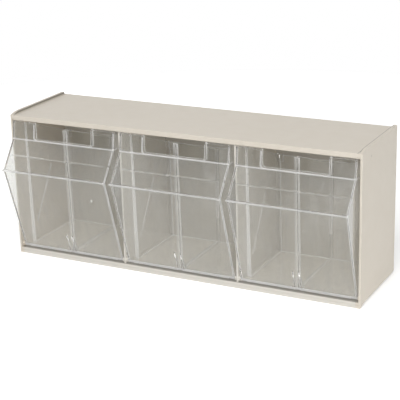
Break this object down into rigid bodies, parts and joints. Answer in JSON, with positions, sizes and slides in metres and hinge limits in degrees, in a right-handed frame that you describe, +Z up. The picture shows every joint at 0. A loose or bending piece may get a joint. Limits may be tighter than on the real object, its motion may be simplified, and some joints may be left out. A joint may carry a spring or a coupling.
{
  "type": "tip-out bin cabinet",
  "caption": "Shallow wall or bench cabinet whose clear tip-out bins tilt forward from an opaque case, for storing small parts",
  "frame": {"origin": "middle of the footprint, bins included, on the surface that the cabinet stands on", "axes": "+X to the right seen from the front, +Y from the front to the back (the bins face -Y), +Z up"},
  "size_m": [0.6, 0.197, 0.24],
  "materials": {
    "case_plastic": "satin moulded plastic, stone beige",
    "bin_plastic": "clear moulded polystyrene"
  },
  "bodies": {
    "case": {"left_side_panel": "case_plastic", "right_side_panel": "case_plastic", "top_panel": "case_plastic", "floor_panel": "case_plastic", "back_panel": "case_plastic", "left_partition": "case_plastic", "right_partition": "case_plastic"},
    "left_bin": {"left_bin": "bin_plastic", "left_bin_divider": "bin_plastic"},
    "middle_bin": {"middle_bin": "bin_plastic", "middle_bin_divider": "bin_plastic"},
    "right_bin": {"right_bin": "bin_plastic", "right_bin_divider": "bin_plastic"}
  },
  "joints": [
    {"name": "left_bin_tilt", "type": "hinge", "parent": "case", "child": "left_bin", "pos_m": [-0.199, -0.0475, 0.014], "axis": [1, 0, 0], "range_deg": [0, 31]},
    {"name": "middle_bin_tilt", "type": "hinge", "parent": "case", "child": "middle_bin", "pos_m": [0, -0.0475, 0.014], "axis": [1, 0, 0], "range_deg": [0, 31]},
    {"name": "right_bin_tilt", "type": "hinge", "parent": "case", "child": "right_bin", "pos_m": [0.199, -0.0475, 0.014], "axis": [1, 0, 0], "range_deg": [0, 31]}
  ]
}
